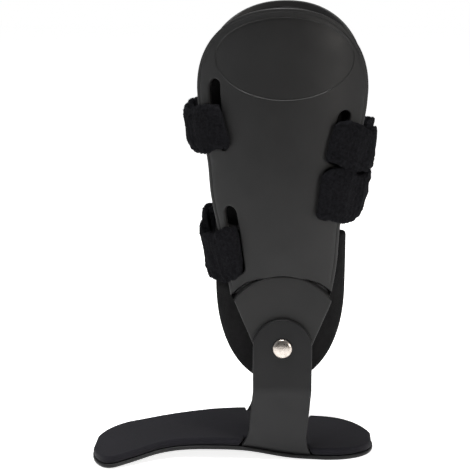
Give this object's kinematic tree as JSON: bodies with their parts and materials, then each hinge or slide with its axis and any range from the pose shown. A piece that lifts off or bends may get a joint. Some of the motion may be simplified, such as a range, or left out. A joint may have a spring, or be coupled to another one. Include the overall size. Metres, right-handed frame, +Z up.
{
  "type": "ankle brace",
  "caption": "Hinged stirrup ankle brace: padded rigid side shells riveted to a U-shaped foot stirrup and joined around the leg by soft straps.",
  "frame": {"origin": "on the ground, at the middle of the footprint's length and on the brace's middle plane, half way between the two rivets", "axes": "+Z up along the leg, -X towards the toes, +X towards the heel, -Y towards the inner (medial) side of the right foot"},
  "size_m": [0.1976, 0.12, 0.3125],
  "materials": {
    "shell_plastic": "charcoal moulded plastic with a fine matt grain",
    "stirrup_plastic": "near-black moulded plastic, satin",
    "insole_foam": "navy-black covered foam",
    "pad_fabric": "black knitted cover over foam",
    "strap_loop_fabric": "black brushed loop pile",
    "rivet_metal": "polished nickel plate"
  },
  "bodies": {
    "foot": {"stirrup": "stirrup_plastic", "insole": "insole_foam", "medial_rivet": "rivet_metal", "lateral_rivet": "rivet_metal"},
    "cuff": {"medial_shell": "shell_plastic", "lateral_shell": "shell_plastic", "medial_calf_pad": "pad_fabric", "lateral_calf_pad": "pad_fabric", "medial_ankle_pad": "pad_fabric", "lateral_ankle_pad": "pad_fabric", "upper_front_strap": "strap_loop_fabric", "lower_front_strap": "strap_loop_fabric", "upper_back_strap": "strap_loop_fabric", "lower_back_strap": "strap_loop_fabric"}
  },
  "joints": [
    {"name": "ankle_hinge", "type": "hinge", "parent": "foot", "child": "cuff", "pos_m": [0.03445, 0, 0.0846], "axis": [0, 1, 0], "range_deg": [-20, 40]}
  ]
}
